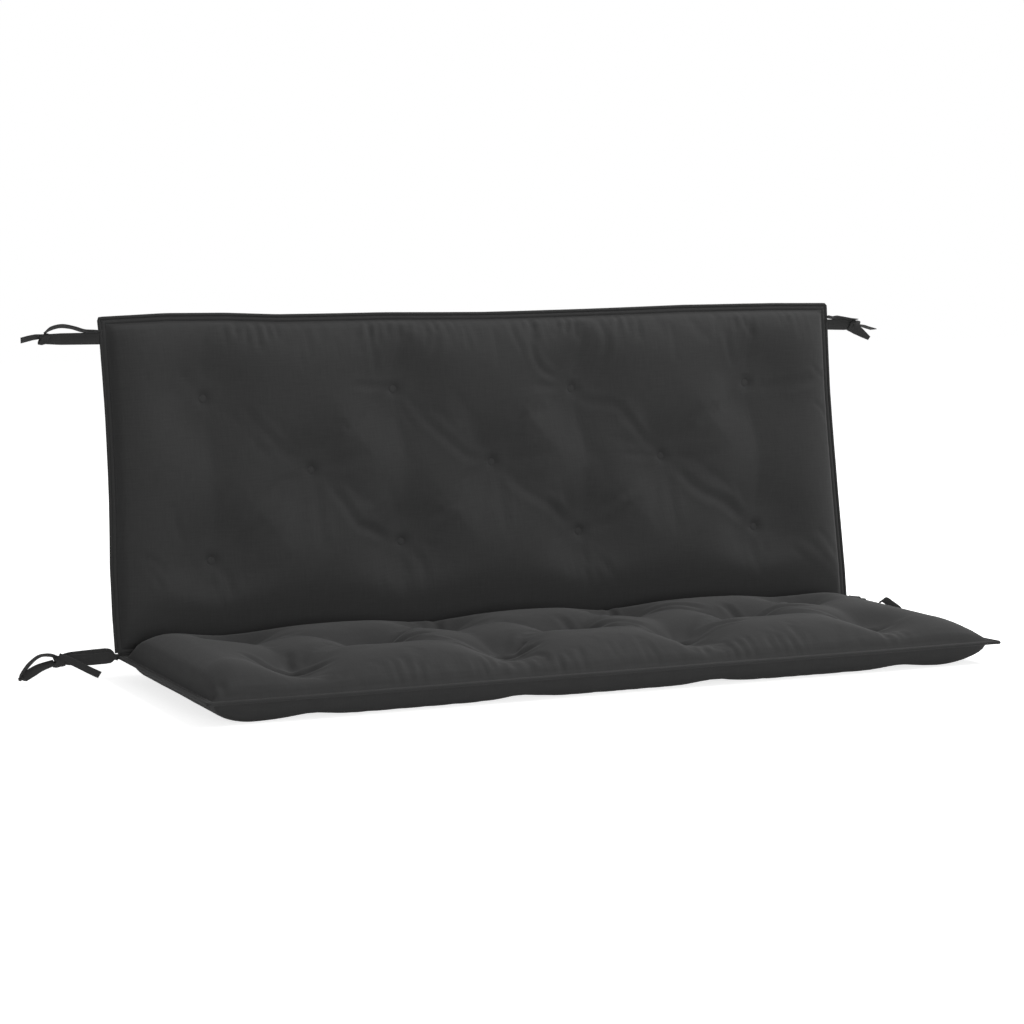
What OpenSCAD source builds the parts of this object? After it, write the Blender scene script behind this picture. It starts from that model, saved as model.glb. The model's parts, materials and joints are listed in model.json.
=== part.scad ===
// Porch swing seat: a tufted seat cushion and a tufted back cushion, sewn together along one fold
// line, with a pair of tie tapes at each of the four corners for the posts of the swing's frame.
// Millimetres, +Z up, front towards -Y. The set stands on the underside of the seat, at z = 0, and
// the origin lies under the middle of its box.

/* [Cushions] */
// Width of both cushions, over their piping
cushion_w = 1200; // [1000:10:1600]
// Height of the back cushion, from the fold line to its top piping
back_h = 485; // [440:5:560]
// Depth of the seat cushion, from the fold line to its front piping
seat_d = 430; // [410:5:520]
// Height of the fabric above the seam plane, between the tufts
crown = 32; // [24:1:36]
// Distance over which the fabric rises from the flange to its full height
side_run = 70; // [50:5:80]
// How far the middle of each side is drawn in from a straight line
side_draw = 5; // [0:1:10]
// Thickness of the cover's fabric with its lining
fabric = 1; // [0.6:0.1:1.4]

/* [Seams] */
// Thickness of the piping round the edge
piping = 5; // [4:0.5:6]
// Width of the flat flange round the edge, piping included
flange = 12; // [10:0.5:16]
// Clearance between pieces that lie on or in each other
gap = 0.3; // [0.2:0.05:0.4]

/* [Tufts] */
// Distance between buttons along a row; the middle row stands half a step off
tuft_pitch = 300; // [260:10:340]
// Distance between the rows
row_gap = 116; // [100:2:120]
// Height of the fabric above the seam plane under a button
tuft_t = 8; // [6:0.5:12]
// Reach of a tuft's hollow in the upper face
tuft_reach = 62; // [50:2:70]
// Radius of a button
button_r = 7; // [6:0.5:9]
// Radius of the twine that ties a button to the one below it
twine_r = 0.8; // [0.6:0.1:1.2]

/* [Fold] */
// Lean of the back from square to the seat
recline = 8; // [0:1:20]
// Angle between the seam planes at which the folded cushions first press on each other
fold_min = 50; // [48:1:60]

/* [Ties] */
// Width of a tie tape
tape_w = 15; // [12:1:16]
// Thickness of a tie tape, folded and stitched
tape_t = 1.2; // [0.8:0.1:1.6]
// Distance of the upper ties below the top piping
tie_drop = 31; // [26:1:60]
// How far the lower ties reach out from the sides of the cushions
lower_reach = 143; // [125:1:160]
// How far the upper ties reach out
upper_reach = 118; // [105:1:130]

/* [Hidden] */
$fn = 48;

half_w = cushion_w / 2;
tuft_rows = 3;
tuft_cols = floor(cushion_w / tuft_pitch + 0.2);   // as many in the long rows as fit
hand_reach = 60;                         // a tuft set off its place takes the fabric along
crease_deep = 4;                         // between neighbouring tufts
crease_reach = 30;
rest_cut = 0.5;                          // the underside is pressed flat by this much
hinge_z = crown - rest_cut;              // height of the fold line over the ground
tongue_t = 1;                            // the seam allowance between the panels
rim_t = tongue_t / 2 + gap + fabric;     // outside of a panel on the flange
rim_in = piping + gap;                   // outer edge of a panel, inside the piping
tongue_in = flange - 2 * gap;            // inner edge of the seam allowance
side_stop = piping + 1;                  // the side piping stops this far from the fold line
under_run = 0.65 * side_run;             // the outer faces rise more steeply at the fold
under_reach = 0.6 * tuft_reach;          // tufts are pressed narrower where the set stands
under_fill = 2;                          // and more filling is pressed flat there

// How far each tuft of the back lies off its regular place by hand: rows from the bottom up,
// each from the left, as [across, up]
hand_back = [
    [-6, 4], [-11, 17], [-18, 18], [-13, 9],
    [3, 14], [-6, 15], [-18, 12],
    [-6, 6], [-9, 14], [-15, 6], [-11, 4]
];
hand_seat = [
    [-6, 0], [4, 3], [-3, -4], [2, 2],
    [12, 0], [18, 3], [-2, -2],
    [-2, 0], [9, -6], [-12, -8], [-6, -2]
];

// ---- the tufts' regular places ----

// The first row's distance from the fold line, on a cushion of this length
function row_first(len) = len / 2 - (tuft_rows - 1) / 2 * row_gap;
function row_cols(r) = tuft_cols - (r % 2);
function tufts(len) = [
    for (r = [0 : tuft_rows - 1]) for (c = [0 : row_cols(r) - 1])
        [(c - (row_cols(r) - 1) / 2) * tuft_pitch, row_first(len) + r * row_gap]
];

// ---- where a nominal point (across, from the fold line) lies in the seam plane ----

function bell(r, reach) = exp(-pow(r / reach, 2));
function plus(v, i = 0) = i >= len(v) ? [0, 0] : v[i] + plus(v, i + 1);
function hand_shift(p, len, hand) =
    let (t = tufts(len))
    plus([for (k = [0 : len(t) - 1]) hand[k % len(hand)] * bell(norm(p - t[k]), hand_reach)]);
function drawn(p, len) = [
    p[0] * (1 - side_draw / half_w * sin(180 * p[1] / len)),
    p[1] * (1 - side_draw / len * cos(90 * p[0] / half_w))
];
function spot(p, len, hand) = drawn(p, len) + hand_shift(p, len, hand);

// ---- height of the fabric over the seam plane ----

function swell(a) = let (b = max(0, min(1, a))) sqrt(1 - pow(1 - b, 2));
// Pressed hollow of the tufts: 1 on the open fabric, down to tuft_t at a button
function hollow(p, len, high, reach) =
    let (t = tufts(len), d = min([for (q = t) norm(p - q)]))
    1 - (1 - (tuft_t - rim_t) / (high - rim_t)) * bell(d, reach);
// A shallow crease runs between neighbouring buttons of two rows
function to_line(p, a, b) =
    let (ab = b - a, s = max(0, min(1, (p - a) * ab / (ab * ab)))) norm(p - a - s * ab);
function crease(p, len) =
    let (
        t = tufts(len),
        near = [
            for (a = t) for (b = t)
                if (b[1] > a[1] && b[1] - a[1] < 1.5 * row_gap && abs(b[0] - a[0]) < 0.6 * tuft_pitch)
                    to_line(p, a, b)
        ]
    )
    crease_deep * bell(min(near), crease_reach);
function rise(p, len, hinge_run) =
    swell((half_w - abs(p[0]) - flange) / side_run)
    * swell((len - p[1] - flange) / side_run)
    * swell((p[1] - flange) / hinge_run);
// The folded cushions press on each other along the plane halfway between them
function wedge(d) = d * tan(fold_min / 2) - gap;
function upper_t(p, len, hand) = min(
    rim_t + ((crown - rim_t) * hollow(p, len, crown, tuft_reach) - crease(p, len))
        * rise(p, len, side_run),
    max(rim_t, wedge(spot(p, len, hand)[1]))
);
function rear_t(p, len) = rim_t
    + ((crown - rim_t) * hollow(p, len, crown, tuft_reach) - crease(p, len))
        * rise(p, len, under_run);
// Pressed flat where the set stands on it
function under_t(p, len) = min(
    rim_t + (crown + under_fill - rim_t) * hollow(p, len, crown + under_fill, under_reach)
        * rise(p, len, under_run),
    hinge_z
);
function lower_t(p, len, stands) = stands ? under_t(p, len) : rear_t(p, len);

// ---- the grid of a cushion ----

edge_steps = [0, 0.2, 0.54, 1.1];        // of the side run, close where it is steep
line_gap = 8;                            // least room between two lines of the grid
// Lines along a side, whose first tufts lie this far in
function edges(room) =
    concat([rim_in], [for (s = edge_steps) min(flange + s * side_run, room - line_gap)]);
function reversed(v) = [for (i = [0 : len(v) - 1]) v[len(v) - 1 - i]];
first_x = (tuft_cols - 1) * tuft_pitch / 2;
side_lines = edges(half_w - first_x);
xs = concat(
    [for (e = side_lines) e - half_w],
    [for (i = [0 : 4 * (tuft_cols - 1)]) i * tuft_pitch / 4 - first_x],
    [for (e = reversed(side_lines)) half_w - e]
);
function ds(len) =
    let (lines = edges(row_first(len)))
    concat(
        lines,
        [for (j = [0 : 2 * (tuft_rows - 1)]) row_first(len) + j * row_gap / 2],
        [for (e = reversed(lines)) len - e]
    );

// A closed solid between two skins over the grid, each a list of points column by column
module skins(top, bottom, nx, nd) {
    base = nx * nd;
    function at(i, j) = i * nd + j;
    function cell(i, j) = (i + j) % 2 == 0
        ? [[at(i, j), at(i + 1, j + 1), at(i + 1, j)], [at(i, j), at(i, j + 1), at(i + 1, j + 1)]]
        : [[at(i, j), at(i, j + 1), at(i + 1, j)], [at(i + 1, j), at(i, j + 1), at(i + 1, j + 1)]];
    cells = [for (i = [0 : nx - 2]) for (j = [0 : nd - 2]) each cell(i, j)];
    function wall(a, b) = [[a, b, b + base], [a, b + base, a + base]];
    rim = concat(
        [for (i = [0 : nx - 2]) each wall(at(i, 0), at(i + 1, 0))],
        [for (j = [0 : nd - 2]) each wall(at(nx - 1, j), at(nx - 1, j + 1))],
        [for (i = [0 : nx - 2]) each wall(at(i + 1, nd - 1), at(i, nd - 1))],
        [for (j = [0 : nd - 2]) each wall(at(0, j + 1), at(0, j))]
    );
    under = [for (f = cells) [f[2] + base, f[1] + base, f[0] + base]];
    polyhedron(points = concat(top, bottom), faces = concat(cells, under, rim));
}

// The heights of a cushion's two faces at a grid point, as [upper, lower]
function heights(p, len, hand, stands) =
    [upper_t(p, len, hand), lower_t(p, len, stands)];
function lift(p, len, hand, t) = let (s = spot(p, len, hand)) [s[0], s[1], t];
function skin(len, hand, stands, side, in, skip = 0) =
    let (d = ds(len))
    [
        for (i = [skip : len(xs) - 1 - skip]) for (j = [skip : len(d) - 1 - skip])
            let (p = [xs[i], d[j]], t = heights(p, len, hand, stands)[side] - in)
            lift(p, len, hand, side == 0 ? t : -t)
    ];

module panel(len, hand, stands, side) {
    nd = len(ds(len));
    outside = skin(len, hand, stands, side, 0);
    inside = skin(len, hand, stands, side, fabric);
    if (side == 0) skins(outside, inside, len(xs), nd);
    else skins(inside, outside, len(xs), nd);
}
module filling(len, hand, stands) {
    nd = len(ds(len)) - 2;
    in = fabric + gap;
    skins(skin(len, hand, stands, 0, in, 1), skin(len, hand, stands, 1, in, 1), len(xs) - 2, nd);
}

// ---- piping ----

// Along the two sides and the far edge, at a distance from the outside
side_steps = 8;
far_steps = 12;
function u_path(len, hand, e) =
    let (
        run = len - e - side_stop,
        nominal = [
            for (i = [0 : side_steps]) [e - half_w, side_stop + i / side_steps * run],
            for (i = [1 : far_steps - 1]) [(e - half_w) * (1 - 2 * i / far_steps), len - e],
            for (i = [0 : side_steps]) [half_w - e, len - e - i / side_steps * run]
        ]
    )
    // Both ends are cut square
    [for (p = nominal) let (s = spot(p, len, hand)) [s[0], p[1] > side_stop ? s[1] : side_stop]];
module u_strip(len, hand, a, b, h) {
    outer = u_path(len, hand, a);
    inner = u_path(len, hand, b);
    linear_extrude(h, center = true) polygon(concat(outer, reversed(inner)));
}
// The round section in layers: how far in each one starts, and how thick it is
layers = [[0, 0.4], [0.12, 0.8], [0.28, 1]];
module edge_piping(len, hand) {
    for (s = layers * piping) u_strip(len, hand, s[0], piping - s[0], s[1]);
    u_strip(len, hand, piping / 2, tongue_in, tongue_t);
}
module seam_tongue(from) {
    half = half_w - flange;
    translate([-half, from, -tongue_t / 2]) cube([2 * half, tongue_in - from, tongue_t]);
}

// ---- tufts ----

slope = (crown + under_fill - tuft_t) / (row_gap / 2);  // the steepest side of a tuft's hollow
shank_r = 2.2;
shank_foot = gap + slope * shank_r;                // over the fabric at the tuft's centre
disc_foot = gap + slope * button_r;
disc_h = 1.6;
dome_h = 2.3;
dome_share = 0.6;                                  // of the button's radius, at the dome's top
button_top = disc_foot + disc_h + dome_h;
module button() {
    rotate_extrude($fn = 12) polygon([
        [0, shank_foot], [shank_r, shank_foot], [shank_r, disc_foot], [button_r, disc_foot],
        [button_r, disc_foot + disc_h], [dome_share * button_r, button_top], [0, button_top]
    ]);
}
module at_tufts(len, hand) {
    for (p = tufts(len)) translate(concat(spot(p, len, hand), [0])) {
        $p = p;
        children();
    }
}
module upper_buttons(len, hand) {
    at_tufts(len, hand) translate([0, 0, upper_t($p, len, hand)]) button();
}
module lower_buttons(len, hand, stands) {
    at_tufts(len, hand) mirror([0, 0, 1]) translate([0, 0, lower_t($p, len, stands)]) button();
}
module twines(len, hand, stands) {
    tip = shank_foot - gap;                        // just under the button's shank
    at_tufts(len, hand) translate([0, 0, -lower_t($p, len, stands) - tip])
        cylinder(r = twine_r, h = upper_t($p, len, hand) + lower_t($p, len, stands) + 2 * tip, $fn = 8);
}

// ---- the fold ----

sleeve_in = piping / 2 + gap;
// The seat's seam allowance swings through this opening of the sleeve, seen from the back
open_more = atan((tongue_t / 2 + gap) / sleeve_in) + 2;
open_from = fold_min - open_more;
open_to = 180 + open_more;

// ---- ties ----

// The ties' points are drawn for a tape 15 wide that reaches 143 and 118 out, and stretch with it
tape_share = tape_w / 15;
lower_share = lower_reach / 143;
upper_share = upper_reach / 118;
beside = tape_t + gap;                   // from one strap to the other, where they are sewn on
function fitted(p) = [p[0] * $reach, p[1] * tape_share, p[2] * tape_share];

// A flat tape through points, each with the direction that its width lies in
module tape(points, across) {
    path = [for (p = points) fitted(p)];
    n = len(path);
    function along(i) = path[min(n - 1, i + 1)] - path[max(0, i - 1)];
    corners = [
        for (i = [0 : n - 1])
            let (
                a = along(i) / norm(along(i)),
                s = across[min(i, len(across) - 1)],
                w = (s - (s * a) * a) / norm(s - (s * a) * a),
                u = cross(a, w)
            )
            each [for (k = [[-1, -1], [1, -1], [1, 1], [-1, 1]])
                path[i] + k[0] * tape_w / 2 * w + k[1] * tape_t / 2 * u]
    ];
    sides = [
        for (i = [0 : n - 2]) for (k = [0 : 3])
            let (a = 4 * i + k, b = 4 * i + (k + 1) % 4)
            each [[a, b, b + 4], [a, b + 4, a + 4]]
    ];
    last = 4 * (n - 1);
    caps = [[0, 2, 1], [0, 3, 2], [last, last + 1, last + 2], [last, last + 2, last + 3]];
    polyhedron(points = corners, faces = [for (f = concat(sides, caps)) [f[2], f[1], f[0]]]);
}
knot_r = 0.53 * tape_w;
knot_l = 8 * tape_share;
module knot(p) {
    translate(fitted(p)) rotate([0, 90, 0]) cylinder(r = knot_r, h = knot_l, $fn = 12);
}
upright = [0, 0, 1];
level = [0, 1, 0];

// ---- placing ----

back_y = [
    for (x = xs) for (d = ds(back_h))
        spot([x, d], back_h, hand_back)[1] * sin(recline) + rear_t([x, d], back_h) * cos(recline)
];
middle_y = (max(back_y) - seat_d) / 2;
module placed() { translate([0, -middle_y, 0]) children(); }
module in_seat() { placed() translate([0, 0, hinge_z]) mirror([0, 1, 0]) children(); }
module in_back() { placed() translate([0, 0, hinge_z]) rotate([90 - recline, 0, 0]) children(); }
// From the place where a tie is sewn on, with x outwards; side is -1 for left
module at_lower_tie(side) {
    $reach = lower_share;
    placed() translate([side * (half_w + gap), 0, hinge_z]) scale([side, 1, 1]) children();
}
module at_upper_tie(side) {
    $reach = upper_share;
    edge = spot([side * half_w, back_h - tie_drop], back_h, hand_back);
    placed()
        translate([edge[0] + side * gap, edge[1] * sin(recline), hinge_z + edge[1] * cos(recline)])
        scale([side, 1, 1]) children();
}

cloth = "#3a3a3d";
cloth_dark = "#303033";
edge_cloth = "#333336";

module seat_top_panel() { color(cloth) in_seat() panel(seat_d, hand_seat, true, 0); }
module seat_bottom_panel() { color(cloth_dark) in_seat() panel(seat_d, hand_seat, true, 1); }
module seat_filling() { color("whitesmoke") in_seat() filling(seat_d, hand_seat, true); }
module seat_piping() { color(edge_cloth) in_seat() edge_piping(seat_d, hand_seat); }
module seat_top_buttons() { color(cloth_dark) in_seat() upper_buttons(seat_d, hand_seat); }
module seat_bottom_buttons() { color(cloth_dark) in_seat() lower_buttons(seat_d, hand_seat, true); }
module seat_tuft_twines() { color("dimgray") in_seat() twines(seat_d, hand_seat, true); }
module hinge_piping() {
    color(edge_cloth) in_seat() {
        translate([-half_w, 0, 0]) rotate([0, 90, 0]) cylinder(d = piping, h = cushion_w);
        seam_tongue(0);
    }
}

module back_front_panel() { color(cloth) in_back() panel(back_h, hand_back, false, 0); }
module back_rear_panel() { color(cloth_dark) in_back() panel(back_h, hand_back, false, 1); }
module back_filling() { color("whitesmoke") in_back() filling(back_h, hand_back, false); }
module back_piping() { color(edge_cloth) in_back() edge_piping(back_h, hand_back); }
module back_front_buttons() { color(cloth_dark) in_back() upper_buttons(back_h, hand_back); }
module back_rear_buttons() { color(cloth_dark) in_back() lower_buttons(back_h, hand_back, false); }
module back_tuft_twines() { color("dimgray") in_back() twines(back_h, hand_back, false); }
module hinge_strip() {
    color(edge_cloth) in_back() {
        rotate([90, 0, 90]) translate([0, 0, 1 - half_w]) sleeve();
        seam_tongue(sleeve_in + fabric / 2);
    }
}
// Open towards the seat, so that the seat's seam allowance can swing
module sleeve() {
    rotate_extrude(angle = 360 - (open_to - open_from), start = open_to)
        translate([sleeve_in, 0]) square([fabric, cushion_w - 2]);
}

// Each pair is knotted: the tie holds one strap, the knot and both tails, the loop the other strap
module lower_left_tie() {
    color(edge_cloth) at_lower_tie(-1) {
        tape([[0, 0, 0], [30, -2, -1], [60, -3, -2], [84, -3, -2]], [upright]);
        knot([82, -3, -2]);
        tape([[88, -3, -2], [104, -5, -3], [122, -8, -10], [139, -12, -23]], [[0, 0.6, 0.8]]);
        tape([[86, -9, 0], [74, -13, -4], [60, -17, -10], [44, -19, -17], [30, -21, -22]],
            [[0, 0.3, 1]]);
    }
}
module lower_left_tie_loop() {
    color(edge_cloth) at_lower_tie(-1) translate([0, beside, 0])
        tape(
            [[0.4, 0, 0], [4, 0.4, 0.2], [11, 2.2, 1], [26, 6.5, 4], [42, 8, 8], [60, 5.5, 9.5],
                [74, -0.5, 8], [81.4, -1.5, 6.5]],
            [upright, upright, [0, 0.3, 1], [0, 1, 1], [0, 1, 0.25], level]
        );
}
module lower_right_tie() {
    color(edge_cloth) at_lower_tie(1) {
        tape([[0, 0, 0], [6, 0.6, 0], [22, 13, -1], [44, 34, -4], [59, 53, -9]], [upright]);
        knot([57, 54, -9]);
        tape([[62, 54, -10], [84, 58, -15], [112, 61, -20], [143, 63, -23]], [[0, 0.8, 0.6]]);
        tape([[60, 60, -9], [78, 70, -13], [98, 74, -17], [116, 74, -20]], [[0, 0.3, 1]]);
    }
}
module lower_right_tie_loop() {
    color(edge_cloth) at_lower_tie(1) translate([0, beside, 0])
        tape(
            [[0.4, 0, 0], [6, 1.5, 0.5], [19, 16, 3], [35, 35.5, 9], [46, 50.5, 9], [54, 59.5, 4]],
            [upright, upright, [-0.3, 0.4, 0.87], [-0.6, 0.75, 0.3], [-0.5, 0.8, 0]]
        );
}
module upper_left_tie() {
    color(edge_cloth) at_upper_tie(-1) {
        tape([[0, 0, 0], [30, 2, 0], [60, 3, 0.5], [84, 2, 1]], [upright]);
        knot([82, 2, 1]);
        tape([[88, 2, 1], [98, 3, 1], [108, 4, 0], [118, 5, -1]], [[0, 0.9, 0.4]]);
        tape([[88, 3, -4], [99, 6, -6], [110, 8, -8]], [[0, 0.9, 0.4]]);
    }
}
module upper_left_tie_loop() {
    color(edge_cloth) at_upper_tie(-1)
        tape([[0.4, 0, 8.6], [20, 0, 12], [38, 0, 16], [58, 0, 17], [72, 1, 13], [81.4, 2, 9.6]], [level]);
}
module upper_right_tie() {
    color(edge_cloth) at_upper_tie(1) {
        tape([[0, 0, 0], [22, 1, -1], [42, 2, -4], [60, 2, -8]], [upright]);
        knot([58, 2, -8]);
        tape([[64, 2, -8], [74, 3, -10], [84, 4, -12], [95, 5, -14]], [[0, 0.9, 0.4]]);
        tape([[64, 0, -13], [74, -2, -19], [82, -3, -24], [90, -4, -28]], [[0, 0.3, 1]]);
    }
}
module upper_right_tie_loop() {
    color(edge_cloth) at_upper_tie(1)
        tape([[0.4, 0, 8.6], [14, 0, 10], [30, 0, 9], [44, 1, 6], [57.4, 2, 1]], [level]);
}

seat_top_panel();
seat_bottom_panel();
seat_filling();
seat_piping();
seat_top_buttons();
seat_bottom_buttons();
seat_tuft_twines();
hinge_piping();
lower_left_tie();
lower_left_tie_loop();
lower_right_tie();
lower_right_tie_loop();
back_front_panel();
back_rear_panel();
back_filling();
back_piping();
back_front_buttons();
back_rear_buttons();
back_tuft_twines();
hinge_strip();
upper_left_tie();
upper_left_tie_loop();
upper_right_tie();
upper_right_tie_loop();
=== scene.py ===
"""Porch swing seat: tufted seat and back cushions in woven polyester, sewn together along one fold.

Lengths are metres unless a name or comment says millimetres. A cushion's own space is (across, away
from the fold line, above the seam plane); placed() takes it to the part's frame.
"""

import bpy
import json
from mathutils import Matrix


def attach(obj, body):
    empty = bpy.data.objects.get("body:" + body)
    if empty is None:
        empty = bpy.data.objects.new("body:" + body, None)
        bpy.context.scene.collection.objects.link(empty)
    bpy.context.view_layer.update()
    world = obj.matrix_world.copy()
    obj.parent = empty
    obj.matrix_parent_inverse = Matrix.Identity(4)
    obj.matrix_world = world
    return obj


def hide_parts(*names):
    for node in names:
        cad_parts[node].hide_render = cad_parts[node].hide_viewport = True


bl_info = {
    "name": "Porch swing seat",
    "version": (1, 0, 0),
    "blender": (4, 5, 0),
    "location": "3D View > Sidebar > Swing seat",
    "description": "Dresses the tufted seat and back cushions of a porch swing in woven cloth",
    "category": "Add Mesh",
}

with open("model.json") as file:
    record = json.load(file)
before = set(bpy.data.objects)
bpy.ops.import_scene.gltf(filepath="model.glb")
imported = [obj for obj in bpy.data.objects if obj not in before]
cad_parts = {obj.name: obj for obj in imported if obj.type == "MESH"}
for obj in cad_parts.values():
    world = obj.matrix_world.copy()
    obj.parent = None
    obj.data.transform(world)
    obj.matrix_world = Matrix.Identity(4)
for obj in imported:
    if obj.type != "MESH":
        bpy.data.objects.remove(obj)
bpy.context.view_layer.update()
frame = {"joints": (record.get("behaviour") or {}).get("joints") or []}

import json
import math
from collections import namedtuple

import bmesh
import bpy
import numpy as np
from bpy.props import FloatProperty, FloatVectorProperty, IntProperty, PointerProperty
from mathutils import Vector

MM = 0.001

# ---- the cushions' cut, as the frame has it ----

HALF_W = 600 * MM
SIDE_DRAW = 5 * MM
FLANGE = 12 * MM
RIM_T = 1.8 * MM          # half the thickness of the flange
TUFT_T = 8 * MM           # height of the cloth under a button
TUFT_PITCH = 300 * MM
ROW_GAP = 116 * MM
HAND_REACH = 60 * MM      # of a tuft that is off its place
PIT_RIM = 7 * MM          # how far the cloth stands round a button over the cloth beneath it
PIT_WALL = 9 * MM         # the pit's own reach
PIT_REACH = 34 * MM       # of the swelling round it
PIT_DEPTH = 1.25          # of the pit, as a share of its rim
SLANT_REACH = 25 * MM     # of a valley between tufts that lie aslant
COLUMN_REACH = 38 * MM    # of a valley between tufts one above the other
COLUMN_ROUND = 9 * MM     # of the bottom of that valley
VALLEY_CLEAR = 0.7        # share of a hollow's reach in which the valleys fade out
SEAM_HOLD = FLANGE + 0.5 * MM  # the simulation holds the cloth so far in from the outside
TUFT_HOLD = 6 * MM        # and so far round a tuft
START_SHARE = 0.7         # of the crowns' height, before the filling blows the cloth up
LOOSE_OVER = 200 * MM     # over which the cloth gets loose, from a tenth of this inside a side
MEET_GAP = 0.3 * MM       # of each folded cushion from the plane on which both meet
MEET_REACH = 60 * MM      # rounding is full up to twice this from the fold, none past three times
FLANGE_TOP = 2.5 * MM     # nothing of a flange stands higher
STRIP_END = 1.5 * MM      # from the end of the strip and the fold's cord to the cushion's side
TIE_DROP = 31 * MM        # of the upper ties below the far edge
TIE_GAP = 0.3 * MM        # of a tie from the edge that it is sewn to
LEAN = math.radians(8)    # of the back, from square to the seat
FOLD_Y, FOLD_Z = frame["joints"][0]["pos_m"][1:]

# How far each tuft lies off its regular place by hand, in mm: rows from the fold, from the left
BACK_HAND = [
    (-6, 4), (-11, 17), (-18, 18), (-13, 9),
    (3, 14), (-6, 15), (-18, 12),
    (-6, 6), (-9, 14), (-15, 6), (-11, 4),
]
SEAT_HAND = [
    (-6, 0), (4, 3), (-3, -4), (2, 2),
    (12, 0), (18, 3), (-2, -2),
    (-2, 0), (9, -6), (-12, -8), (-6, -2),
]

# Creases of the back's front face in mm: points across and up from the fold, depth, half width
BACK_CREASES = [
    ([(-397, 350), (-386, 335), (-370, 315), (-342, 287), (-316, 267)], 3.5, 6),
    ([(-131, 345), (-119, 329), (-97, 305), (-55, 268), (-24, 259)], 3.5, 6),
    ([(182, 337), (204, 333), (229, 301), (252, 278), (274, 261)], 3.5, 6),
    ([(-275, 239), (-265, 228), (-249, 199), (-231, 171), (-210, 162), (-181, 146)], 4, 6),
    ([(7, 242), (19, 232), (46, 207), (74, 190), (118, 154)], 4.5, 7),
    ([(293, 243), (312, 223), (339, 194), (386, 172), (423, 144)], 4.5, 7),
    ([(-350, 229), (-359, 204), (-374, 183), (-400, 162)], 2, 6),
    ([(-67, 201), (-86, 188), (-107, 173)], 3, 6),
    ([(211, 203), (190, 187), (171, 175)], 3, 6),
    ([(76, 330), (48, 323), (31, 301)], 2.5, 6),
    ([(383, 332), (361, 315), (344, 297)], 2.5, 6),
    ([(-293, 243), (-290, 222), (-291, 192), (-290, 134)], 2.5, 7),
    ([(-2, 243), (3, 219), (2, 185), (4, 147)], 2.5, 7),
    ([(284, 238), (287, 214), (287, 191), (290, 134)], 2.5, 7),
    ([(-190, 471), (-193, 443), (-185, 392)], 3, 5),
    ([(-87, 448), (-92, 425), (-105, 400)], 2.5, 5),
    ([(-225, 376), (-181, 374), (-162, 372)], 2.5, 5),
    ([(-152, 347), (-141, 329), (-130, 311)], 2, 5),
    ([(76, 472), (66, 443), (68, 412), (81, 392), (116, 373)], 3.5, 5),
    ([(42, 478), (38, 453), (48, 420)], 2.5, 5),
    ([(182, 477), (189, 459), (193, 437), (189, 412), (178, 392)], 4, 6),
    ([(60, 367), (87, 367), (121, 364)], 2.5, 5),
    ([(144, 349), (160, 340), (182, 337)], 3, 6),
    ([(208, 259), (234, 255), (266, 253)], 2.5, 5),
    ([(-282, 257), (-244, 265), (-206, 277)], 2.5, 9),
    ([(9, 256), (46, 257), (89, 270)], 2.5, 9),
    ([(296, 253), (335, 248), (371, 254)], 2.5, 9),
    ([(451, 355), (486, 356), (526, 359), (565, 366)], 3, 7),
    ([(399, 468), (398, 445), (411, 392)], 3, 5),
    ([(441, 457), (446, 435)], 2, 4),
    ([(-488, 404), (-472, 385), (-457, 368)], 2.5, 8),
    ([(-447, 119), (-433, 101), (-426, 42)], 3, 6),
    ([(-443, 94), (-445, 51)], 1.5, 4),
    ([(-200, 94), (-197, 64), (-193, 39)], 2.5, 5),
    ([(-147, 129), (-131, 104), (-129, 47)], 3, 6),
    ([(-163, 115), (-170, 55)], 2, 5),
    ([(104, 97), (104, 39)], 2, 4),
    ([(112, 92), (116, 61), (131, 34)], 2.5, 5),
    ([(152, 97), (156, 71), (163, 40)], 2.5, 5),
    ([(158, 105), (173, 81), (193, 52)], 3.5, 6),
    ([(429, 114), (429, 82), (446, 31)], 3, 6),
    ([(495, 100), (531, 65), (582, 23)], 3, 5),
    ([(519, 112), (545, 86), (575, 55)], 2.5, 5),
    ([(541, 126), (560, 106), (577, 80)], 2, 4.5),
    ([(-562, 142), (-544, 133), (-529, 113)], 2, 5),
    ([(-557, 128), (-544, 110), (-535, 89)], 2, 5),
    ([(-513, 213), (-508, 187), (-499, 158)], 2, 6),
    ([(550, 384), (562, 374), (575, 365)], 2, 4),
    ([(549, 327), (565, 317), (576, 298)], 2, 4),
]
# The seat's, points across and away from the fold. Most start behind a tuft.
SEAT_CREASES = [
    ([(-505, 285), (-482, 312), (-456, 330), (-430, 336), (-404, 350)], 6, 6),
    ([(-215, 290), (-185, 312), (-155, 327), (-120, 330), (-92, 340)], 6, 6),
    ([(80, 285), (112, 310), (138, 323), (170, 326)], 6, 6),
    ([(390, 290), (420, 315), (444, 329), (478, 335)], 5, 6),
    ([(-446, 318), (-443, 290), (-434, 262)], 6, 6),
    ([(-143, 92), (-136, 66), (-134, 40)], 6, 6),
    ([(150, 88), (152, 62), (150, 36)], 6, 5),
    ([(22, 205), (26, 180), (24, 150)], 5, 6),
    ([(301, 200), (302, 172), (298, 145)], 6, 6),
    ([(-276, 205), (-250, 186), (-222, 172)], 5, 6),
    ([(-262, 214), (-236, 212), (-205, 222)], 5, 6),
    ([(40, 214), (75, 228), (110, 262)], 5, 7),
    ([(170, 100), (215, 112), (262, 160)], 5, 6),
    ([(318, 208), (360, 200), (405, 222)], 5, 6),
    ([(156, 316), (196, 306), (240, 318)], 5, 6),
    ([(-125, 318), (-96, 300)], 5, 6),
]
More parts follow.
